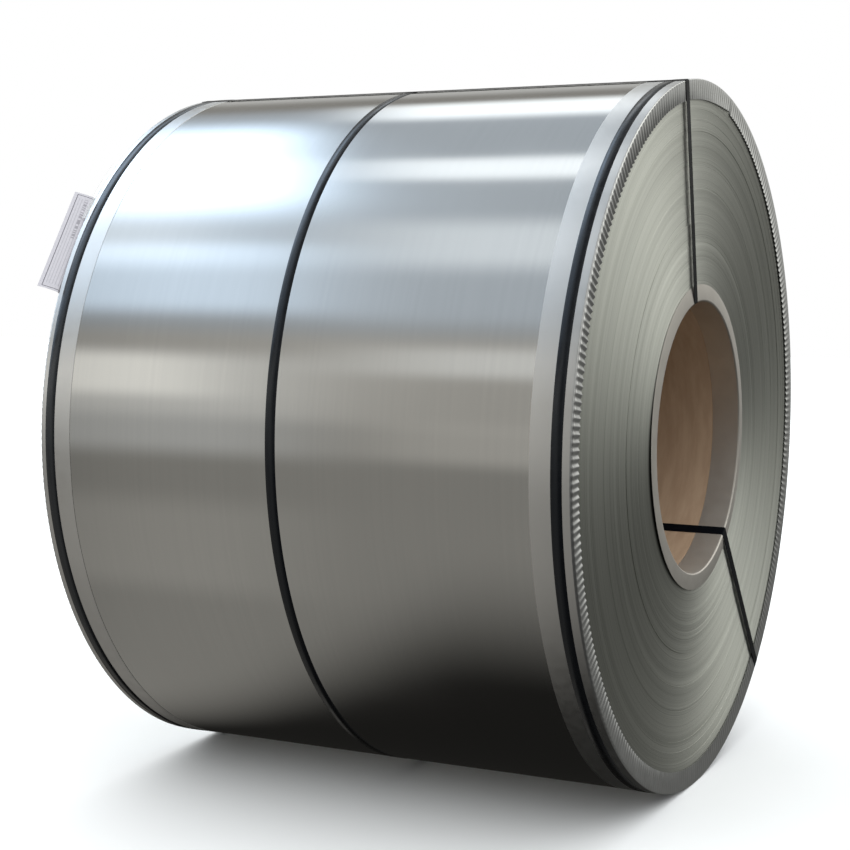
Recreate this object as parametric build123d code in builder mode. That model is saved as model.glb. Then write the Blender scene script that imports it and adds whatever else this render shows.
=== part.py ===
# Steel coil with galvanised edge protectors, a fibre bore liner and steel strapping, lying on its side.
# Frame: origin at the middle of the bore, +X along the bore towards the end that shows its protector's lap, +Z up.
import os
from math import cos, radians, sin, sqrt

from build123d import *

os.makedirs("parts", exist_ok=True)

# Driving dimensions in millimetres and degrees
strip_width = 1000.0
coil_radius = 652.0
bore_radius = 254.0
turn_step_radius = 398.0
turn_step = 0.5

sheet = 0.5
outer_wrap = {"right": 68.0, "left": 60.0}
outer_face_width = 31.5
outer_bend = 3.0
stand_off = 4.0
flute_count = 320
flute_length = 25.0

ring_bore_depth = 50.0
ring_face_radius = 283.0
ring_bend = 3.5

liner_wall = 2.0

strap_width = 19.0
strap_sheet = 0.5
girth_strap_x = {"left": -482.5, "middle": -28.0, "right": 477.0}
eye_strap_angle = {"top": 100.0, "lower": -51.5}
eye_strap_corner = 3.0

seal_length = 42.0
seal_lip = 1.6
seal_sheet = 0.9
girth_seal_angle = 20.0
eye_seal_radius = 450.0

card_length = 205.0
card_sheet = 0.5
card_angle = 146.0
card_overhang = 36.5
card_tucked = 25.0
card_flare = 13.5
card_chord = 644.0

# Radii and places that follow from them
half_width = strip_width / 2
protector_radius = coil_radius + sheet
outer_end = half_width - turn_step
face_x = half_width + stand_off
flange_height = face_x - sheet - outer_end
flange_radius = protector_radius - outer_face_width
flute_radius = flange_radius + flute_length
rim_radius = protector_radius - outer_bend
liner_radius = bore_radius - liner_wall
ring_radius = liner_radius - sheet
strap_seat = {"left": protector_radius, "middle": coil_radius, "right": protector_radius}
eye_outside = protector_radius + strap_sheet
eye_inside = sqrt(ring_radius**2 - (strap_width / 2) ** 2)


def around(angle):
    """The plane through the coil's axis at an angle round it: local x along the axis, local y outwards."""
    outward = Vector(0, cos(radians(angle)), sin(radians(angle)))
    return Plane(origin=(0, 0, 0), x_dir=(1, 0, 0), z_dir=Vector(1, 0, 0).cross(outward))


def polar(radius, angle, height=0.0):
    """A point at a radius, an angle and a height in the local frame of a plane across the coil's axis."""
    return Vector(radius * cos(radians(angle)), radius * sin(radians(angle)), height)


def plane_over(first, second, third):
    """The plane through three points, facing away from the coil's end."""
    normal = (second - first).cross(third - first)
    return Plane(origin=first, x_dir=second - first, z_dir=normal if normal.Z > 0 else -normal)


def store(piece, name):
    """Labels a finished piece with its node's name and writes it."""
    piece.label = name
    export_step(piece, f"parts/{name}.step")


# Coil: one turned solid whose end faces step where the outer turns wandered as the strip was wound
with BuildPart() as steel_coil:
    with BuildSketch(Plane.XY):
        with Locations((0, (bore_radius + turn_step_radius) / 2)):
            Rectangle(strip_width, turn_step_radius - bore_radius)
        with Locations((0, (turn_step_radius + coil_radius) / 2)):
            Rectangle(strip_width - 2 * turn_step, coil_radius - turn_step_radius)
    revolve(axis=Axis.X)
store(steel_coil.part, "steel_coil")

# Bore liner: a fibre sleeve over the whole width of the bore
with BuildPart() as bore_liner:
    with BuildSketch(Plane.YZ.offset(-half_width)):
        Circle(bore_radius)
        Circle(liner_radius, mode=Mode.SUBTRACT)
    extrude(amount=strip_width)
store(bore_liner.part, "bore_liner")


# Flutes of the outer protectors' face flange, as gathered by the crimping of a straight strip into a ring: each is
# a hollow between two ridges, flush with the rim at its root and down on the coil's end at the free edge
half_pitch = 180 / flute_count
ridge_end = flange_radius * cos(radians(half_pitch))
valley = polar(flange_radius, 0)
near_root, far_root = polar(flute_radius, -half_pitch, flange_height), polar(flute_radius, half_pitch, flange_height)
near_tip, far_tip = polar(ridge_end, -half_pitch, flange_height), polar(ridge_end, half_pitch, flange_height)
with BuildPart() as flute_hollow:
    with BuildSketch(Plane.XY.offset(-sheet)):
        with Locations(((flange_radius + rim_radius) / 2, 0)):
            Rectangle(2 * outer_face_width, 4 * flange_radius * sin(radians(half_pitch)))
    extrude(amount=2 * flange_height)
    for side in (plane_over(near_root, near_tip, valley), plane_over(far_root, far_tip, valley),
                 plane_over(near_root, far_root, valley)):
        split(bisect_by=side, keep=Keep.TOP)
with BuildPart() as flute:
    with BuildSketch():
        with BuildLine():
            Polyline(polar(rim_radius, -half_pitch), polar(ridge_end, -half_pitch), valley,
                     polar(ridge_end, half_pitch), polar(rim_radius, half_pitch))
            ThreePointArc(polar(rim_radius, half_pitch), polar(rim_radius, 0), polar(rim_radius, -half_pitch))
        make_face()
    extrude(amount=flange_height)
    add(flute_hollow.part, mode=Mode.SUBTRACT)
with BuildPart(Plane.YZ.offset(outer_end)) as fluted_flange:
    with PolarLocations(0, flute_count):
        add(flute.part)


# Outer edge protectors: an angle ring round the coil's edge, with the fluted flange on the coil's end
def outer_edge_protector(wrap):
    with BuildPart() as protector:
        with BuildSketch(Plane.XY):
            with BuildLine():
                Polyline(
                    (half_width - wrap, coil_radius),
                    (outer_end, coil_radius),
                    (outer_end, rim_radius),
                    (face_x - sheet, rim_radius),
                    (face_x - sheet - outer_bend, protector_radius),
                    (half_width - wrap, protector_radius),
                    close=True,
                )
            make_face()
        revolve(axis=Axis.X)
        add(fluted_flange.part)
    return protector.part


store(outer_edge_protector(outer_wrap["right"]), "outer_edge_protector_right")
store(outer_edge_protector(outer_wrap["left"]).mirror(Plane.YZ), "outer_edge_protector_left")

# Inner edge protectors: a smooth angle ring over the bore's edge, thickest at its bend
with BuildPart() as inner_edge_protector:
    with BuildSketch(Plane.XY):
        with BuildLine():
            Polyline(
                (half_width - ring_bore_depth, ring_radius),
                (face_x - ring_bend, ring_radius),
                (face_x, ring_radius + ring_bend),
                (half_width + sheet, ring_face_radius),
                (half_width, ring_face_radius),
                (half_width, liner_radius),
                (half_width - ring_bore_depth, liner_radius),
                close=True,
            )
        make_face()
    revolve(axis=Axis.X)
store(inner_edge_protector.part, "inner_edge_protector_right")
store(inner_edge_protector.part.mirror(Plane.YZ), "inner_edge_protector_left")

# Girth straps: flat steel bands round the coil, the outer two over the edge protectors
for side, centre in girth_strap_x.items():
    with BuildPart() as girth_strap:
        with BuildSketch(Plane.YZ.offset(centre - strap_width / 2)):
            Circle(strap_seat[side] + strap_sheet)
            Circle(strap_seat[side], mode=Mode.SUBTRACT)
        extrude(amount=strap_width)
    store(girth_strap.part, f"girth_strap_{side}")

# Girth strap seals: a folded clip over each joint of the bands, on the coil's far side
for side, centre in girth_strap_x.items():
    strap_top = strap_seat[side] + strap_sheet
    with BuildPart() as girth_seal:
        with BuildSketch(around(girth_seal_angle)):
            with Locations((centre, (strap_seat[side] + strap_top + seal_sheet) / 2)):
                Rectangle(strap_width + 2 * seal_lip, strap_sheet + seal_sheet)
            with Locations((centre, (strap_seat[side] + strap_top) / 2)):
                Rectangle(strap_width, strap_sheet, mode=Mode.SUBTRACT)
        extrude(amount=seal_length / 2, both=True)
    store(girth_seal.part, f"girth_seal_{side}")

# Eye straps: flat steel loops through the bore, pulled tight over the girth straps and the edge protectors
for place, angle in eye_strap_angle.items():
    with BuildPart() as eye_strap:
        with BuildSketch(around(angle)) as loop:
            with Locations((0, (eye_outside + eye_inside) / 2)):
                Rectangle(2 * (face_x + strap_sheet), eye_outside - eye_inside + 2 * strap_sheet)
            chamfer(loop.vertices(), eye_strap_corner)
            offset(amount=-strap_sheet, kind=Kind.INTERSECTION, mode=Mode.SUBTRACT)
        extrude(amount=strap_width / 2, both=True)
    store(eye_strap.part, f"eye_strap_{place}")

# Eye strap seals: a folded sleeve round the joint of each loop, on the end away from the viewer
for place, angle in eye_strap_angle.items():
    with BuildPart() as eye_seal:
        with BuildSketch(around(angle)):
            with Locations((-face_x - strap_sheet / 2, eye_seal_radius)):
                Rectangle(strap_sheet + 2 * seal_sheet, seal_length)
        extrude(amount=strap_width / 2 + seal_lip, both=True)
        with BuildSketch(around(angle)):
            with Locations((-face_x - strap_sheet / 2, eye_seal_radius)):
                Rectangle(strap_sheet, seal_length)
        extrude(amount=strap_width / 2, both=True, mode=Mode.SUBTRACT)
    store(eye_seal.part, f"eye_seal_{place}")

# Label card: tucked flat against the far end and folded outwards past the rim
flare_x = card_overhang * cos(radians(card_flare))
flare_out = card_overhang * sin(radians(card_flare))
card_plane = around(card_angle)
with BuildPart() as label_card:
    with BuildSketch(card_plane):
        with BuildLine():
            Polyline(
                (-face_x, card_chord - card_tucked),
                (-face_x, card_chord),
                (-face_x - flare_x, card_chord + flare_out),
                (-face_x - flare_x - card_sheet * sin(radians(card_flare)),
                 card_chord + flare_out - card_sheet * cos(radians(card_flare))),
                (-face_x - card_sheet, card_chord - card_sheet),
                (-face_x - card_sheet, card_chord - card_tucked),
                close=True,
            )
        make_face()
    extrude(amount=card_length / 2, both=True)
store(label_card.part, "label_card")
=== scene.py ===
import math

import bpy
import numpy as np
from mathutils import Matrix, Vector


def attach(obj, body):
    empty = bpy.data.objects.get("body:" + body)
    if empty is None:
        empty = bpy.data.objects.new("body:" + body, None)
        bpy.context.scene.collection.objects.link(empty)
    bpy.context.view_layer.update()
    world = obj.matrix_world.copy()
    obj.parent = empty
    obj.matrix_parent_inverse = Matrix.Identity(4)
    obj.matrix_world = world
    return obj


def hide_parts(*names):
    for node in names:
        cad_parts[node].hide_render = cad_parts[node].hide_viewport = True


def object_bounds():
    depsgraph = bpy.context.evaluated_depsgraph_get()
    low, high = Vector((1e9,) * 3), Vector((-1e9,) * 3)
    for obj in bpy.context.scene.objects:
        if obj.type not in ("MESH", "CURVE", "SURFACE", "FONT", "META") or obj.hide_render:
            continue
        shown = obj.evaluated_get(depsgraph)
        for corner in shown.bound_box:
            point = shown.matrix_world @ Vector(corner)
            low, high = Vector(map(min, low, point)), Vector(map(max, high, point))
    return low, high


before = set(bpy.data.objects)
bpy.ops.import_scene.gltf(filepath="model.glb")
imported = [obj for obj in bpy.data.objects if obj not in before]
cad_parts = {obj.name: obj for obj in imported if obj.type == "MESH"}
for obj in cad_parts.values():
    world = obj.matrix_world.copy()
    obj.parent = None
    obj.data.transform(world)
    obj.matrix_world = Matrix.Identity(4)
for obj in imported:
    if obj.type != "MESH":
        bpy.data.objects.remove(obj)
cad_low, cad_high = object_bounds()

# Sizes in metres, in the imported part's frame: X along the bore, Z up, the origin at the middle of the bore.
# Angles are in degrees round the bore: 0 is the far side, 90 the top, 180 the camera's side, 270 the bottom
HALF = 0.500
COIL_R = 0.652
BORE_R = 0.254
SHEET = 0.0005
LINER_R = BORE_R - 0.002
RING_R = LINER_R - SHEET
PROTECTOR_R = COIL_R + SHEET
FACE_X = 0.504
STRAP_W = 0.019
STRAP_T = 0.0005

# The turns on the coil's ends: two radii part them into three bands, each at its own level
TURN_BAND_RADII = (0.398, 0.560)
TURN_BAND_LEVELS = (-0.0001, -0.0011, -0.0004)
TURN_EDGES = 44
TURN_EDGE_RANGE = (0.262, 0.648)

# The inner rings' flange: where its free edge stands off the coil, and the shadow under it there
RING_EDGE_R = 0.283
RING_DEPTH = 0.050
RING_BEND = 0.0035
RING_GAP_ANGLE = 205.0
RING_GAP_WIDTH = 38.0
RING_GAP = 0.0029
RING_GAP_DRAW = 0.0025
RING_SHADOW_R = (0.293, 0.281)

# Outer protectors: a hump of the free edge is (height, angle, width), a slope at its lap (height, length)
WRAP = {"right": 0.068, "left": 0.060}
BEND_TURN = 86
FLUTES = 320
FREE_EDGE_R = 0.6125
FREE_EDGE_HUMPS = ((0.010, 170.0, 35.0), (0.0035, 287.0, 16.0))
LAP_ANGLE = 75.0
LAP_SLOPE_AFTER = (0.0085, 38.0)
LAP_SLOPES_BEFORE = ((0.006, 25.0), (0.009, 5.0))
BODY_DEPTH = 0.0016
TIP_DEPTH = 0.0034

# The girth straps: side, place along X, radius of what they lie on, and how far they wander along X
GIRTH_STRAPS = (("left", -0.4825, PROTECTOR_R, 0.0), ("middle", -0.030, COIL_R, 0.008),
                ("right", 0.477, PROTECTOR_R, 0.0))
GIRTH_SKEW_ANGLE = 100.0
EYE_STRAPS = {"top": 100.0, "lower": -51.5}

# The label card and the tape on its upper corner; the tape's section is (x, radius) points
CARD_ANGLE = 146.0
CARD_LENGTH = 0.205
CARD_T = 0.0004
CARD_TUCK = 0.025
CARD_FOLD = 0.644
CARD_BEND = (0.031, 0.021)
CARD_SHIFT = 0.006
TAPE_SECTION = ((-0.4990, 0.6530), (-0.5045, 0.6545), (-0.5110, 0.6520), (-0.5170, 0.6470))
TAPE_ANGLE = 129.0
TAPE_STEPS = 14

# The form ruled on the card, measured from the card's middle and from its fold
BORDER_END, BORDER_SIDE, LINE = 0.0984, 0.0250, 0.0006
DASH_ROW, DASH_HEIGHT, DASH_MIDDLE, DASH_SPAN = 0.0085, 0.0022, -0.05, 0.042
RULE_PITCH, RULE_PLACE, RULE_LINE, RULE_SPAN = 0.0045, 0.0022, 0.0005, 0.092

random_state = np.random.default_rng(7)


# Node graphs
def new_material(name):
    material = bpy.data.materials.new(name)
    material.use_nodes = True
    tree = material.node_tree
    return material, tree, tree.nodes["Principled BSDF"]


def link(tree, source, target):
    tree.links.new(source, target)


def node(tree, kind, **settings):
    made = tree.nodes.new(kind)
    for key, value in settings.items():
        setattr(made, key, value)
    return made


def math_node(tree, operation, first, second=None, third=None):
    made = node(tree, "ShaderNodeMath", operation=operation)
    for socket, value in zip(made.inputs, (first, second, third)):
        if value is None:
            continue
        if isinstance(value, (int, float)):
            socket.default_value = value
        else:
            link(tree, value, socket)
    return made.outputs[0]


def product(tree, first, *others):
    for other in others:
        first = math_node(tree, "MULTIPLY", first, other)
    return first


def largest(tree, first, *others):
    for other in others:
        first = math_node(tree, "MAXIMUM", first, other)
    return first


def mean(tree, first, second):
    return math_node(tree, "ADD", product(tree, first, 0.5), product(tree, second, 0.5))


def noise(tree, vector, scale, detail=3.0, roughness=0.5, dimensions="3D"):
    made = node(tree, "ShaderNodeTexNoise", noise_dimensions=dimensions)
    made.inputs["Scale"].default_value = scale
    made.inputs["Detail"].default_value = detail
    made.inputs["Roughness"].default_value = roughness
    link(tree, vector, made.inputs["W" if dimensions == "1D" else "Vector"])
    return made.outputs["Fac"]


def map_range(tree, value, low, high, to_low=0.0, to_high=1.0):
    """A smooth step from one number to another as the value goes from low to high."""
    made = node(tree, "ShaderNodeMapRange", interpolation_type="SMOOTHSTEP")
    link(tree, value, made.inputs["Value"])
    for key, number in (("From Min", low), ("From Max", high), ("To Min", to_low), ("To Max", to_high)):
        made.inputs[key].default_value = number
    return made.outputs["Result"]


def mix_colour(tree, factor, first, second):
    made = node(tree, "ShaderNodeMix", data_type="RGBA")
    link(tree, factor, made.inputs["Factor"])
    for socket, value in ((made.inputs["A"], first), (made.inputs["B"], second)):
        if isinstance(value, tuple):
            socket.default_value = (*value, 1.0)
        else:
            link(tree, value, socket)
    return made.outputs["Result"]


def tinted(colour, strength):
    return tuple(channel * strength for channel in colour)


def scaled(tree, colour, factor):
    """A colour, given as a tuple or as a node's output, times a node's number."""
    made = node(tree, "ShaderNodeVectorMath", operation="SCALE")
    if isinstance(colour, tuple):
        made.inputs[0].default_value = colour
    else:
        link(tree, colour, made.inputs[0])
    link(tree, factor, made.inputs["Scale"])
    return made.outputs[0]


def added(tree, first, second):
    made = node(tree, "ShaderNodeVectorMath", operation="ADD")
    link(tree, first, made.inputs[0])
    link(tree, second, made.inputs[1])
    return made.outputs[0]


def object_point(tree):
    return node(tree, "ShaderNodeTexCoord").outputs["Object"]


def split(tree, point):
    parts = node(tree, "ShaderNodeSeparateXYZ")
    link(tree, point, parts.inputs[0])
    return parts.outputs


def from_axis(tree, y, z):
    """The distance from the bore's axis."""
    return math_node(tree, "SQRT", math_node(tree, "MULTIPLY_ADD", y, y, product(tree, z, z)))


def stretched(tree, point, scale):
    made = node(tree, "ShaderNodeMapping")
    made.inputs["Scale"].default_value = scale
    link(tree, point, made.inputs["Vector"])
    return made.outputs["Vector"]


def bump(tree, shader, height, strength, distance):
    made = node(tree, "ShaderNodeBump")
    made.inputs["Strength"].default_value = strength
    made.inputs["Distance"].default_value = distance
    link(tree, height, made.inputs["Height"])
    link(tree, made.outputs["Normal"], shader.inputs["Normal"])


def mottled(tree, field, dark, pale, low=0.3, high=0.7):
    """A colour that wanders between two as a noise field goes from low to high."""
    return mix_colour(tree, map_range(tree, field, low, high), dark, pale)


def set_roughness(tree, shader, field, smooth, rough):
    link(tree, map_range(tree, field, 0.3, 0.7, smooth, rough), shader.inputs["Roughness"])


def rolled_metal(tree, shader, anisotropy):
    """Metal whose gloss is drawn out round the coil."""
    shader.inputs["Metallic"].default_value = 1.0
    shader.inputs["Anisotropic"].default_value = anisotropy
    shader.inputs["Anisotropic Rotation"].default_value = 0.25
    tangent = node(tree, "ShaderNodeTangent", direction_type="RADIAL", axis="X")
    link(tree, tangent.outputs["Tangent"], shader.inputs["Tangent"])


# Materials
def coil_round_material():
    """Bright strip with a faint grain round the coil and a slow wave in its surface."""
    material, tree, shader = new_material("coil_round")
    point = object_point(tree)
    rolled_metal(tree, shader, 0.5)
    cloud = noise(tree, point, 2.2)
    grain = noise(tree, stretched(tree, point, (160.0, 2.0, 2.0)), 1.0, 4.0, 0.6)
    colour = mottled(tree, mean(tree, cloud, grain), (0.622, 0.63, 0.625), (0.652, 0.658, 0.65))
    link(tree, colour, shader.inputs["Base Color"])
    set_roughness(tree, shader, cloud, 0.10, 0.13)
    wave = noise(tree, stretched(tree, point, (0.7, 1.6, 1.6)), 1.6, 1.0)
    bump(tree, shader, wave, 0.15, 0.01)
    return material


def coil_end_material():
    """Satin edges of the turns, with dark gaps between some and the shadow under the ring's lifted edge."""
    material, tree, shader = new_material("coil_end")
    y, z = split(tree, object_point(tree))[1:]
    radius = from_axis(tree, y, z)
    rolled_metal(tree, shader, 0.8)
    broad = noise(tree, radius, 60.0, 3.0, 0.6, "1D")
    fine = noise(tree, radius, 700.0, 3.0, 0.7, "1D")
    satin = mottled(tree, mean(tree, broad, fine), (0.495, 0.505, 0.46), (0.61, 0.62, 0.57), 0.35, 0.65)
    gaps = map_range(tree, noise(tree, radius, 240.0, 2.0, 0.5, "1D"), 0.60, 0.72, 0.0, 0.30)
    satin = mix_colour(tree, gaps, satin, (0.20, 0.205, 0.18))
    gap_angle = math.radians(RING_GAP_ANGLE)
    z_share = product(tree, z, math.sin(gap_angle))
    toward_gap = math_node(tree, "MULTIPLY_ADD", y, math.cos(gap_angle), z_share)
    beside_gap = map_range(tree, math_node(tree, "DIVIDE", toward_gap, radius), 0.55, 0.92)
    under_ring = product(tree, beside_gap, map_range(tree, radius, *RING_SHADOW_R, 0.0, 0.82))
    link(tree, mix_colour(tree, under_ring, satin, (0.03, 0.03, 0.025)), shader.inputs["Base Color"])
    shader.inputs["Roughness"].default_value = 0.5
    bump(tree, shader, fine, 0.35, 0.0006)
    return material


def galvanised(tree, shader, point, dark, pale, rough):
    """Sets a cloudy zinc finish and returns its colour."""
    shader.inputs["Metallic"].default_value = 1.0
    set_roughness(tree, shader, noise(tree, point, 60.0, 2.0), rough - 0.02, rough + 0.03)
    return mottled(tree, noise(tree, point, 25.0), dark, pale)


def ring_material():
    material, tree, shader = new_material("ring_steel")
    colour = galvanised(tree, shader, object_point(tree), (0.585, 0.555, 0.512), (0.62, 0.59, 0.546), 0.50)
    link(tree, colour, shader.inputs["Base Color"])
    return material


def protector_material():
    """Zinc, paler on the wrap round the coil, with painted shade in the flutes' hollows from the top towards
    the far side.
    """
    material, tree, shader = new_material("protector_steel")
    point = object_point(tree)
    y, z = split(tree, point)[1:]
    radius = from_axis(tree, y, z)
    colour = galvanised(tree, shader, point, (0.61, 0.615, 0.61), (0.66, 0.665, 0.66), 0.30)
    on_wrap = map_range(tree, radius, COIL_R - 0.0008, COIL_R)
    colour = mix_colour(tree, on_wrap, colour, (0.78, 0.785, 0.78))
    flute_turn = product(tree, math_node(tree, "ARCTAN2", z, y), FLUTES)
    in_flute = map_range(tree, math_node(tree, "COSINE", flute_turn), -0.1, -0.95)
    near_top = map_range(tree, math_node(tree, "DIVIDE", z, radius), 0.60, 0.95)
    far_side = map_range(tree, y, -0.13, -0.05)
    on_flange = map_range(tree, radius, 0.651, 0.645, 0.0, 0.5)
    # Painted shade: the flutes' hollows darkened from the top towards the far side
    flute_shade_painted = product(tree, in_flute, near_top, far_side, on_flange)
    link(tree, mix_colour(tree, flute_shade_painted, colour, (0.12, 0.12, 0.10)), shader.inputs["Base Color"])
    return material


def strap_material(name, gloss):
    """Black lacquer; gloss is how strongly it mirrors the light."""
    material, tree, shader = new_material(name)
    shader.inputs["Base Color"].default_value = (0.004, 0.0045, 0.006, 1.0)
    shader.inputs["Specular IOR Level"].default_value = gloss
    # The blue tint of the gloss is a painted reflection of cool light
    shader.inputs["Specular Tint"].default_value = (0.85, 0.92, 1.0, 1.0)
    set_roughness(tree, shader, noise(tree, object_point(tree), 60.0), 0.20, 0.30)
    return material


def fibre_material():
    material, tree, shader = new_material("liner_fibre")
    cloud = noise(tree, stretched(tree, object_point(tree), (60.0, 12.0, 12.0)), 1.0, 4.0, 0.6)
    colour = mottled(tree, cloud, (0.40, 0.27, 0.175), (0.47, 0.33, 0.22))
    link(tree, colour, shader.inputs["Base Color"])
    shader.inputs["Roughness"].default_value = 0.75
    return material


def card_material(along):
    """Paper with a plain ruled form; along is the direction of the card's long side."""
    material, tree, shader = new_material("card_paper")
    point = object_point(tree)
    dot = node(tree, "ShaderNodeVectorMath", operation="DOT_PRODUCT")
    link(tree, point, dot.inputs[0])
    dot.inputs[1].default_value = along
    length = math_node(tree, "SUBTRACT", dot.outputs["Value"], CARD_SHIFT)
    from_middle = math_node(tree, "ABSOLUTE", length)
    past_fold = math_node(tree, "SUBTRACT", -FACE_X, split(tree, point)[0])
    in_length = math_node(tree, "LESS_THAN", from_middle, BORDER_END + LINE)
    in_width = math_node(tree, "LESS_THAN", past_fold, BORDER_SIDE + LINE)
    side_line = product(tree, math_node(tree, "COMPARE", past_fold, BORDER_SIDE, LINE), in_length)
    end_line = product(tree, math_node(tree, "COMPARE", from_middle, BORDER_END, LINE), in_width)
    dashes = math_node(tree, "GREATER_THAN", noise(tree, length, 230.0, 0.0, 0.5, "1D"), 0.48)
    from_dashes = math_node(tree, "ABSOLUTE", math_node(tree, "SUBTRACT", length, DASH_MIDDLE))
    dash_row = math_node(tree, "COMPARE", past_fold, DASH_ROW, DASH_HEIGHT)
    dash_row = product(tree, dash_row, math_node(tree, "LESS_THAN", from_dashes, DASH_SPAN), dashes, 0.55)
    past_rule = math_node(tree, "MODULO", past_fold, RULE_PITCH)
    rules = math_node(tree, "COMPARE", past_rule, RULE_PLACE, RULE_LINE)
    rules = product(tree, rules, in_width, 0.30, math_node(tree, "LESS_THAN", from_middle, RULE_SPAN))
    ink = largest(tree, side_line, end_line, dash_row, rules)
    paper = mottled(tree, noise(tree, point, 300.0, 2.0), (0.62, 0.60, 0.65), (0.67, 0.65, 0.70))
    link(tree, mix_colour(tree, ink, paper, (0.16, 0.15, 0.18)), shader.inputs["Base Color"])
    shader.inputs["Roughness"].default_value = 0.6
    return material


def tape_material():
    material, tree, shader = new_material("tape_clear")
    shader.inputs["Base Color"].default_value = (0.9, 0.92, 0.92, 1.0)
    shader.inputs["Alpha"].default_value = 0.35
    set_roughness(tree, shader, noise(tree, object_point(tree), 150.0), 0.08, 0.25)
    return material


# Meshes
def make_piece(name, vertices, faces, materials, slot_name, replaced=(), sharp=None, smooth=True):
    """A piece of the root body, shaded smooth except across edges steeper than sharp degrees."""
    mesh = bpy.data.meshes.new(name)
    mesh.from_pydata([tuple(v) for v in vertices], [], [tuple(f) for f in faces])
    for material in materials:
        mesh.materials.append(material)
    mesh.polygons.foreach_set("use_smooth", np.full(len(mesh.polygons), smooth))
    mesh.update()
    if sharp is not None:
        mesh.set_sharp_from_angle(angle=math.radians(sharp))
    piece = bpy.data.objects.new(name, mesh)
    bpy.context.scene.collection.objects.link(piece)
    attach(piece, "root")
    if replaced:
        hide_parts(*replaced)
    return piece


def ring_faces(rows, columns):
    """Quads of a grid that is closed along its rows and its columns."""
    row = np.arange(rows)[:, None]
    column = np.arange(columns)[None, :]
    next_row, next_column = (row + 1) % rows, (column + 1) % columns
    corners = ((row, column), (row, next_column), (next_row, next_column), (next_row, column))
    return np.stack([r * columns + c for r, c in corners], axis=-1).reshape(-1, 4)


def lathe(section, steps):
    """Vertices and quads of a closed section of (x, radius) points turned about X."""
    angle = np.linspace(0.0, 2 * math.pi, steps, endpoint=False)
    section = np.asarray(section)
    x = np.repeat(section[:, :1], steps, axis=1)
    y = section[:, 1:] * np.cos(angle)[None, :]
    z = section[:, 1:] * np.sin(angle)[None, :]
    return np.stack([x, y, z], axis=-1).reshape(-1, 3), ring_faces(len(section), steps)


def mirrored(vertices, faces):
    return vertices * np.array([-1.0, 1.0, 1.0]), faces[:, ::-1]


def bell(value, centre, width):
    """A smooth hump of height 1."""
    return np.exp(-(((value - centre) / width) ** 2) / 2)


def outward_at(angle):
    """The direction away from the bore's axis at an angle round it."""
    return np.array([0.0, math.cos(math.radians(angle)), math.sin(math.radians(angle))])


# Coil: bands of turns standing slightly proud or shy of one another on both ends
def coil_end_profile():
    """(x, radius) points of one end from the bore outwards: flat bands with small steps between them."""
    edges = np.sort(np.concatenate([random_state.uniform(*TURN_EDGE_RANGE, TURN_EDGES), TURN_BAND_RADII]))
    level = np.array(TURN_BAND_LEVELS)[np.searchsorted(TURN_BAND_RADII, edges, side="right")]
    level = level + random_state.uniform(-0.0003, 0.0001, len(edges))
    step, corner = 0.0001, 0.0004
    points = [(HALF, BORE_R)]
    for radius, offset in zip(edges, level):
        points.append((points[-1][0], radius - step))
        points.append((HALF + offset, radius + step))
    points.append((points[-1][0], COIL_R - corner))
    points.append((points[-1][0] - corner, COIL_R))
    return points


def build_coil():
    steps = 288
    right_end = coil_end_profile()
    left_end = [(-x, radius) for x, radius in coil_end_profile()]
    section = right_end[::-1] + left_end
    vertices, faces = lathe(section, steps)
    radii = np.array([radius for x, radius in section])
    on_round = np.minimum(radii, np.roll(radii, -1)) > COIL_R - 1e-6
    coil = make_piece("coil", vertices, faces, [coil_end_material(), coil_round_material()], "coil_steel",
                      replaced=["steel_coil"], sharp=20)
    coil.data.polygons.foreach_set("material_index", np.repeat(on_round, steps).astype(np.int32))


# Bore liner: a tan fibre tube
def build_liner():
    end, outside = HALF - 0.0005, BORE_R - 0.0001
    section = [(-end, LINER_R), (-end, outside), (end, outside), (end, LINER_R)]
    vertices, faces = lathe(section, 192)
    make_piece("bore_liner_tube", vertices, faces, [fibre_material()], "liner_fibre",
               replaced=["bore_liner"], sharp=30)


# Inner edge rings: a smooth flange rolled over the bore's edge
def ring_bend(radius, bend_steps=8):
    """(x, radius) points round the ring's bend, on its outer or its inner face."""
    middle_x, middle_r = FACE_X - RING_BEND, RING_R + RING_BEND
    turns = [math.radians(90 * k / bend_steps) for k in range(bend_steps + 1)]
    return [(middle_x + radius * math.sin(turn), middle_r - radius * math.cos(turn)) for turn in turns]


def build_rings():
    deep_end = HALF - RING_DEPTH
    outer = [(deep_end, RING_R), *ring_bend(RING_BEND), (HALF + 0.0005, RING_EDGE_R)]
    inner = [(deep_end, RING_R + SHEET), *ring_bend(RING_BEND - SHEET), (HALF + 0.0001, RING_EDGE_R)]
    vertices, faces = lathe(outer + inner[::-1], 192)
    radius = np.hypot(vertices[:, 1], vertices[:, 2])
    angle = np.degrees(np.arctan2(vertices[:, 2], vertices[:, 1]))
    from_gap = np.mod(angle - RING_GAP_ANGLE + 180.0, 360.0) - 180.0
    root = RING_EDGE_R - 0.021
    towards_edge = np.clip((radius - root) / 0.021, 0.0, 1.0) * (vertices[:, 0] > HALF)
    lift = bell(from_gap, 0.0, RING_GAP_WIDTH) * towards_edge
    vertices[:, 0] += RING_GAP * lift
    vertices[:, 1:] *= (1.0 - RING_GAP_DRAW * lift / radius)[:, None]
    steel = ring_material()
    for side, mesh in (("right", (vertices, faces)), ("left", mirrored(vertices, faces))):
        make_piece(f"inner_ring_{side}", *mesh, [steel], "ring_sheet",
                   replaced=[f"inner_edge_protector_{side}"], sharp=40)


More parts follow.
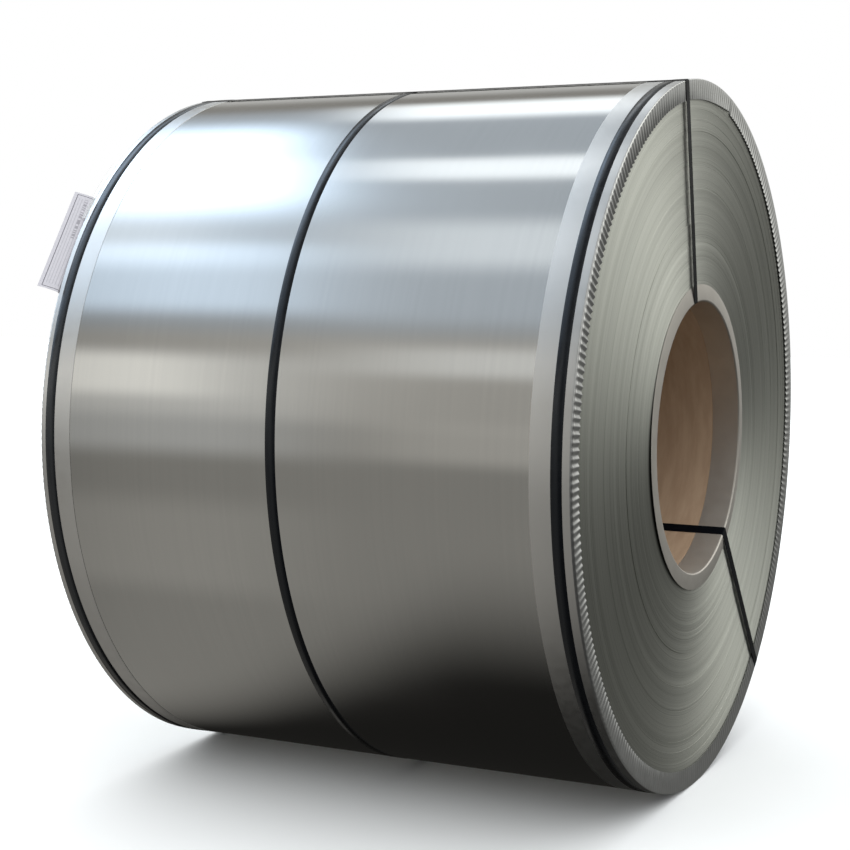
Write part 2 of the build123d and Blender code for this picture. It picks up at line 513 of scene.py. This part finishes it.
# Outer edge protectors: the flange on the face is fluted, deepest at its free edge, and laps near the top
def free_edge_radius(degrees, after_lap, before_lap):
    """Radius of the flange's free edge: it wanders, and steps back at the lap."""
    radius = FREE_EDGE_R
    for height, middle, width in FREE_EDGE_HUMPS:
        radius = radius + height * bell(degrees, middle, width)
    height, length = LAP_SLOPE_AFTER
    radius = radius + height * np.exp(-after_lap / length)
    for height, length in LAP_SLOPES_BEFORE:
        radius = radius + height * np.exp(-before_lap / length)
    return radius + 0.0005 * np.sin(np.radians(11 * degrees + 40))


def fluted_protector(wrap):
    """The right protector's mesh, in rows along the wrap, round the bend and down the flange."""
    samples, bend_rows, flange_rows, thickness = 8, 8, 8, 0.0004
    columns = FLUTES * samples
    angle = np.linspace(0.0, 2 * math.pi, columns, endpoint=False)
    degrees = np.degrees(angle)
    after_lap = np.mod(LAP_ANGLE - degrees, 360.0)
    before_lap = 360.0 - after_lap
    # How far an angle is on the camera's side, and how far on the upper half of that side, each from 0 to 1
    front = 0.5 - 0.5 * np.cos(angle)
    upper = 1.0 / (1.0 + np.exp((degrees - 192.0) / 6.0))
    bend = 0.0015 + 0.004 * front ** 4
    start_x = FACE_X - bend + bend * math.sin(math.radians(BEND_TURN))
    start_r = PROTECTOR_R - bend + bend * math.cos(math.radians(BEND_TURN))
    free_edge = free_edge_radius(degrees, after_lap, before_lap)
    lap_lift = -0.0005 + 0.0005 * np.exp(-before_lap / 12.0)
    # The flutes' hollows: uneven, crisper from the top down the camera's side, and a sharp line at the lap
    unevenness = np.repeat(random_state.uniform(0.85, 1.0, FLUTES), samples)
    crispness = 0.58 + 0.42 * np.exp(-(((degrees - 122.0) / 60.0) ** 4))
    hollow = crispness * unevenness * (0.5 - 0.5 * np.cos(FLUTES * angle)) ** 0.8
    hollow = np.where(before_lap < 0.7, 1.1, hollow)
    body_depth = BODY_DEPTH * front * (0.8 + 0.2 * upper)
    tip_depth = TIP_DEPTH - 0.0015 * front
    wander = 0.0003 * np.sin(7 * angle + 1.0) + 0.0002 * np.sin(23 * angle)
    rows_x, rows_r = [], []

    def row(x, radius):
        rows_x.append(np.broadcast_to(x, angle.shape))
        rows_r.append(np.broadcast_to(radius, angle.shape))

    def flange(share, behind=0.0):
        depth = body_depth + tip_depth * share ** (2.0 - 1.2 * front * upper)
        row(start_x - depth * hollow + share * lap_lift - behind, start_r + (free_edge - start_r) * share)

    row(HALF - wrap + wander, PROTECTOR_R - SHEET * 0.8)
    row(HALF - wrap + wander, PROTECTOR_R)
    for k in range(bend_rows):
        turn = math.radians(BEND_TURN * k / (bend_rows - 1))
        depth = body_depth * max(0.0, (k - 1) / (bend_rows - 2))
        reach = bend - depth * hollow
        row(FACE_X - bend + reach * math.sin(turn), PROTECTOR_R - bend + reach * math.cos(turn))
    for k in range(1, flange_rows + 1):
        flange(k / flange_rows)
    flange(1.0, thickness)
    flange(0.5, thickness)
    row(start_x - 0.0025, start_r - 0.001)
    row(FACE_X - 0.007, COIL_R + 0.0001)
    x, radius = np.array(rows_x), np.array(rows_r)
    vertices = np.stack([x, radius * np.cos(angle), radius * np.sin(angle)], axis=-1).reshape(-1, 3)
    return vertices, ring_faces(len(x), columns)[:, ::-1]


def build_protectors():
    steel = protector_material()
    for side, wrap in WRAP.items():
        vertices, faces = fluted_protector(wrap)
        if side == "left":
            vertices, faces = mirrored(vertices, faces)
        make_piece(f"edge_protector_{side}", vertices, faces, [steel], "protector_sheet",
                   replaced=[f"outer_edge_protector_{side}"], sharp=60)


# Girth straps: thin bands with rounded edges, the middle one a little askew
def girth_band(centre, seat, skew):
    half, edge, lift = STRAP_W / 2, 0.00018, 0.0001
    section = [(half, lift), (half, STRAP_T - edge), (half - edge, STRAP_T), (-half + edge, STRAP_T),
               (-half, STRAP_T - edge), (-half, lift)]
    vertices, faces = lathe([(centre + x, seat + height) for x, height in section], 320)
    angle = np.arctan2(vertices[:, 2], vertices[:, 1])
    vertices[:, 0] -= skew * np.cos(angle - math.radians(GIRTH_SKEW_ANGLE))
    return vertices, faces


def build_girth_bands(lacquer, lit_lacquer_copy):
    for side, centre, seat, skew in GIRTH_STRAPS:
        vertices, faces = girth_band(centre, seat, skew)
        finish = lit_lacquer_copy if side == "left" else lacquer
        make_piece(f"girth_band_{side}", vertices, faces, [finish], "strap_steel",
                   replaced=[f"girth_strap_{side}"], sharp=50)


# Eye straps: flat loops through the bore and over the coil
def strap_loop(strap_angle, outside, inside):
    """Vertices and quads of a loop whose four corners are quarter turns."""
    outward = Vector(outward_at(strap_angle))
    across = Vector((1, 0, 0)).cross(outward)
    corner, corner_steps = 0.003, 6
    vertices = []
    for side, centre_r, start in ((1, outside - corner, 0), (-1, outside - corner, 90),
                                  (-1, inside + corner, 180), (1, inside + corner, 270)):
        centre_x = side * (FACE_X - corner)
        for k in range(corner_steps + 1):
            turn = math.radians(start + 90 / corner_steps * k)
            for width, lift in ((-0.5, 0.0), (-0.5, 1.0), (0.5, 1.0), (0.5, 0.0)):
                reach = corner + lift * STRAP_T
                along_bore = Vector((centre_x + reach * math.cos(turn), 0, 0))
                height = centre_r + reach * math.sin(turn)
                vertices.append(along_bore + outward * height + across * (width * STRAP_W))
    rows = len(vertices) // 4
    quads = []
    for i in range(rows):
        j = (i + 1) % rows
        for k in range(4):
            quads.append((4 * i + k, 4 * j + k, 4 * j + (k + 1) % 4, 4 * i + (k + 1) % 4))
    return vertices, quads


def build_eye_bands(lacquer):
    inside = math.sqrt(RING_R ** 2 - (STRAP_W / 2) ** 2)
    for place, angle in EYE_STRAPS.items():
        vertices, faces = strap_loop(angle, PROTECTOR_R + STRAP_T, inside)
        make_piece(f"eye_band_{place}", vertices, faces, [lacquer], "strap_steel",
                   replaced=[f"eye_strap_{place}"], sharp=40)


def finish_seals(lacquer):
    """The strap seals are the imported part's own solids, in the straps' lacquer."""
    for name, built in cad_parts.items():
        if not built.hide_render and name.startswith(("girth_seal", "eye_seal")):
            built.data.materials.clear()
            built.data.materials.append(lacquer)


# Label card: tucked behind the far rim and bent outwards past it
def build_card():
    outward, along = outward_at(CARD_ANGLE), outward_at(CARD_ANGLE + 90.0)
    bend_x, bend_out = CARD_BEND
    path = [(-FACE_X, CARD_FOLD - CARD_TUCK)]
    path += [(-FACE_X - bend_x * t ** 1.3, CARD_FOLD + bend_out * t) for t in np.linspace(0, 1, 9)]
    vertices = []
    for sheet_side in (0.0, -CARD_T):
        for x, out in path:
            for side in (CARD_SHIFT - CARD_LENGTH / 2, CARD_SHIFT + CARD_LENGTH / 2):
                vertices.append(np.array([x + sheet_side, 0.0, 0.0]) + out * outward + side * along)
    count, faces = len(path), []
    for i in range(count - 1):
        a, b = 2 * i, 2 * count + 2 * i
        faces += [(a, a + 2, a + 3, a + 1), (b, b + 1, b + 3, b + 2)]
        faces += [(a, b, b + 2, a + 2), (a + 1, a + 3, b + 3, b + 1)]
    last, back = 2 * count - 2, 2 * count
    faces += [(0, 1, back + 1, back), (last, last + back, last + back + 1, last + 1)]
    make_piece("label_card_form", vertices, faces, [card_material(along)], "card_paper",
               replaced=["label_card"], smooth=False)


# A strip of clear tape that holds the card's upper corner, slightly creased
def build_tape():
    vertices, faces = [], []
    for k in range(TAPE_STEPS):
        crease = 0.0008 * math.sin(2.1 * k)
        for x, radius in TAPE_SECTION:
            outwards = (radius + crease) * outward_at(TAPE_ANGLE + k)
            vertices.append(np.array([x + crease, 0.0, 0.0]) + outwards)
    width = len(TAPE_SECTION)
    for k in range(TAPE_STEPS - 1):
        for j in range(width - 1):
            a = k * width + j
            faces.append((a, a + 1, a + 1 + width, a + width))
    make_piece("clear_tape", vertices, faces, [tape_material()], "card_paper")


build_coil()
build_liner()
build_rings()
build_protectors()
# One black lacquer in lit and shaded copies: the left girth strap's stronger gloss is a painted highlight,
# the eye straps' near-matt gloss painted shade
strap_black = strap_material("strap_black", 0.5)
build_girth_bands(strap_black, strap_material("strap_black_lit_copy", 1.0))
build_eye_bands(strap_material("strap_black_shaded_copy", 0.03))
build_card()
build_tape()
finish_seals(strap_black)


# Floor: pale to the camera, darker in the light that it throws back, and not mirrored in the metal
def floor():
    size, height = 14.0, cad_low.z
    mesh = bpy.data.meshes.new("floor")
    corners = [(-size, -size, height), (size, -size, height), (size, size, height), (-size, size, height)]
    mesh.from_pydata(corners, [], [(0, 1, 2, 3)])
    material, tree, shader = new_material("floor_pale")
    pale = mottled(tree, noise(tree, object_point(tree), 1.5), (0.90, 0.90, 0.90), (0.92, 0.92, 0.92))
    seen = node(tree, "ShaderNodeLightPath").outputs["Is Camera Ray"]
    link(tree, mix_colour(tree, seen, (0.18, 0.18, 0.17), pale), shader.inputs["Base Color"])
    shader.inputs["Roughness"].default_value = 0.9
    shader.inputs["Specular IOR Level"].default_value = 0.0
    mesh.materials.append(material)
    made = bpy.data.objects.new("floor", mesh)
    bpy.context.scene.collection.objects.link(made)
    made.visible_glossy = False


floor()

# Studio light, as the metal mirrors it. A direction is an angle round the bore and a share along X
COOL, PLAIN, WARM = (0.76, 0.96, 1.20), (0.97, 1.0, 1.01), (1.0, 0.96, 0.88)
ANY, FAR, FARTHER, NEAR = None, (-0.47, -0.53), (-0.53, -0.57), (-0.50, -0.43)
SOFTBOXES = (
    # centre, half width, soft edge, strength, colour, reach along X
    (92.0, 46.0, 12.0, 0.30, COOL, ANY),
    (14.0, 8.0, 10.0, 0.25, PLAIN, ANY),
    (160.0, 11.0, 7.0, 0.16, WARM, ANY),
    (76.0, 12.0, 20.0, 2.0, COOL, FAR),
    (98.0, 20.0, 8.0, 0.32, COOL, FAR),
    (92.0, 22.0, 12.0, 0.35, PLAIN, FARTHER),
    (126.0, 9.0, 7.0, 0.55, COOL, FAR),
    (170.0, 13.0, 8.0, 0.22, PLAIN, FAR),
    (161.0, 4.0, 6.0, 0.45, WARM, FARTHER),
    (220.0, 10.0, 12.0, 0.07, WARM, FAR),
    (44.5, 3.5, 7.0, 1.1, PLAIN, NEAR),
    (82.0, 2.5, 5.0, 1.0, PLAIN, NEAR),
    (114.0, 4.0, 9.0, 0.42, PLAIN, NEAR),
    (154.0, 2.0, 5.0, 0.35, PLAIN, NEAR),
    (180.0, 3.0, 6.0, 0.18, WARM, NEAR),
)


def light_on_round(tree, x, y, z):
    """What the coil's round mirrors: a dim room that darkens towards the floor, and the soft boxes."""
    turn = product(tree, math_node(tree, "ARCTAN2", z, y), 180.0 / math.pi)
    turn = math_node(tree, "WRAP", turn, 360.0, 0.0)
    floor_edge = map_range(tree, x, -0.40, -0.58, 240.0, 320.0)
    past_edge = math_node(tree, "SUBTRACT", turn, floor_edge)
    light = scaled(tree, tinted(WARM, 0.27), map_range(tree, past_edge, -32.0, 26.0, 1.0, 0.05))
    for centre, half, soft, strength, colour, reach in SOFTBOXES:
        distance = math_node(tree, "ABSOLUTE", math_node(tree, "SUBTRACT", turn, centre))
        share = map_range(tree, distance, half + soft, half)
        if reach is not None:
            share = product(tree, share, map_range(tree, x, *reach))
        light = added(tree, light, scaled(tree, tinted(colour, strength), share))
    return scaled(tree, light, map_range(tree, x, -0.57, -0.62, 1.0, 0.72))


def light_on_end(tree, y, z):
    """What the coil's end mirrors: bright from above and behind, dark from below and in front."""
    above = map_range(tree, z, -0.2, 0.42, 0.12, 1.36)
    behind = map_range(tree, y, 0.0, 0.50, 0.36, 1.0)
    return scaled(tree, (1.0, 1.0, 0.95), product(tree, above, behind))


def studio():
    world = bpy.data.worlds.new("studio")
    bpy.context.scene.world = world
    world.use_nodes = True
    tree = world.node_tree
    tree.nodes.clear()
    x, y, z = split(tree, node(tree, "ShaderNodeTexCoord").outputs["Generated"])
    on_end = map_range(tree, x, -0.30, 0.0)
    metal_sees = mix_colour(tree, on_end, light_on_round(tree, x, y, z), light_on_end(tree, y, z))
    # A darker patch between the two keeps the bends of the upper edges from glaring
    between = product(tree, map_range(tree, x, -0.34, -0.20), map_range(tree, x, 0.32, 0.10))
    between = product(tree, between, map_range(tree, z, -0.25, 0.30, 0.05, 0.75))
    metal_sees = mix_colour(tree, between, metal_sees, (0.05, 0.05, 0.05))
    soft_light = scaled(tree, PLAIN, map_range(tree, z, -0.1, 0.9, 0.30, 1.9))
    paths = node(tree, "ShaderNodeLightPath")
    shown = mix_colour(tree, paths.outputs["Is Camera Ray"], soft_light, (1.0, 1.0, 1.0))
    background = node(tree, "ShaderNodeBackground")
    light = mix_colour(tree, paths.outputs["Is Glossy Ray"], shown, metal_sees)
    link(tree, light, background.inputs["Color"])
    output = node(tree, "ShaderNodeOutputWorld")
    link(tree, background.outputs[0], output.inputs["Surface"])


studio()

# Camera at the photograph's angle
camera_data = bpy.data.cameras.new("camera")
camera_data.sensor_width = 36.0
camera_data.lens = 74.62
camera = bpy.data.objects.new("camera", camera_data)
bpy.context.scene.collection.objects.link(camera)
camera_place = Vector((1.4719, -3.1377, 0.3331))
right, up = Vector((0.898, 0.440, 0.0)), Vector((-0.0418, 0.0854, 0.9955))
back = Vector((0.4379, -0.8940, 0.0951))
camera.matrix_world = Matrix.Translation(camera_place) @ Matrix((right, up, back)).transposed().to_4x4()
bpy.context.scene.camera = camera
bpy.context.scene.view_settings.view_transform = "Standard"
